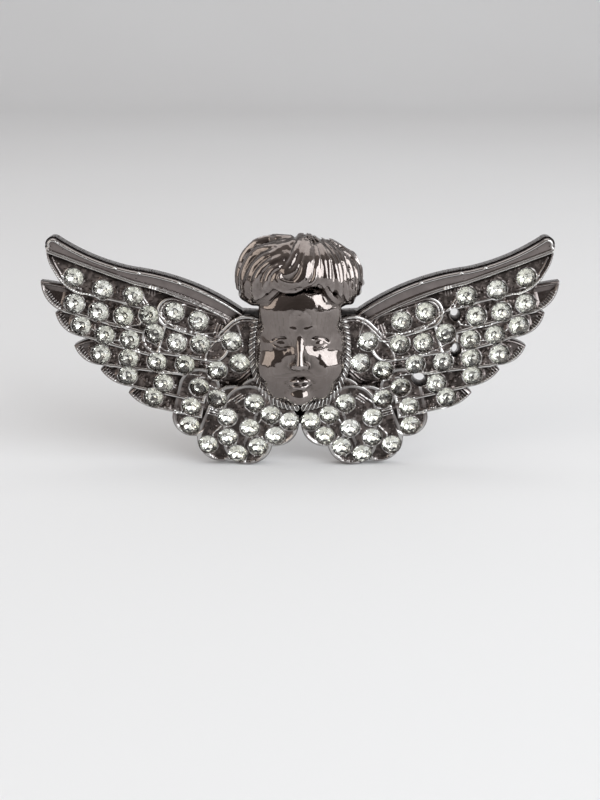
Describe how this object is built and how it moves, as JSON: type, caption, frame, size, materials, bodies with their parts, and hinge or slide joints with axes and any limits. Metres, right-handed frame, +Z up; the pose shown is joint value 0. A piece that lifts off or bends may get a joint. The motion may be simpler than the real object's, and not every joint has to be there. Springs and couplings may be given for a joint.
{
  "type": "winged cherub-head candle pin",
  "caption": "Winged cherub head in dark plated metal set with clear glass stones, with two push-in spikes on its flat back for pinning to a candle.",
  "frame": {"origin": "on the flat back plane of the wings, half way between the axes of the two spikes", "axes": "+X to the viewer's right along the wingspan, +Y back into the candle along the spikes, +Z up"},
  "size_m": [0.0888, 0.0229, 0.0415],
  "materials": {
    "plated_casting": "polished dark gunmetal plating",
    "pin_steel": "plain plated steel",
    "stone_glass": "polished, foil-backed"
  },
  "bodies": {
    "root": {"wing_right": "plated_casting", "wing_left": "plated_casting", "cherub_head": "plated_casting", "candle_pin_right": "pin_steel", "candle_pin_left": "pin_steel", "stones_right_leading": "stone_glass", "stones_left_leading": "stone_glass", "stones_right_quill_2": "stone_glass", "stones_left_quill_2": "stone_glass", "stones_right_quill_3": "stone_glass", "stones_left_quill_3": "stone_glass", "stones_right_quill_4": "stone_glass", "stones_left_quill_4": "stone_glass", "stones_right_quill_5": "stone_glass", "stones_left_quill_5": "stone_glass", "stones_right_quill_6": "stone_glass", "stones_left_quill_6": "stone_glass", "stones_right_shoulder": "stone_glass", "stones_left_shoulder": "stone_glass", "stones_right_middle": "stone_glass", "stones_left_middle": "stone_glass", "stones_right_cheek": "stone_glass", "stones_left_cheek": "stone_glass", "stones_right_elbow": "stone_glass", "stones_left_elbow": "stone_glass", "stones_right_covert_1": "stone_glass", "stones_left_covert_1": "stone_glass", "stones_right_covert_2": "stone_glass", "stones_left_covert_2": "stone_glass", "stones_right_covert_3": "stone_glass", "stones_left_covert_3": "stone_glass", "stones_right_covert_4": "stone_glass", "stones_left_covert_4": "stone_glass", "stones_right_breast": "stone_glass", "stones_left_breast": "stone_glass"}
  },
  "joints": []
}
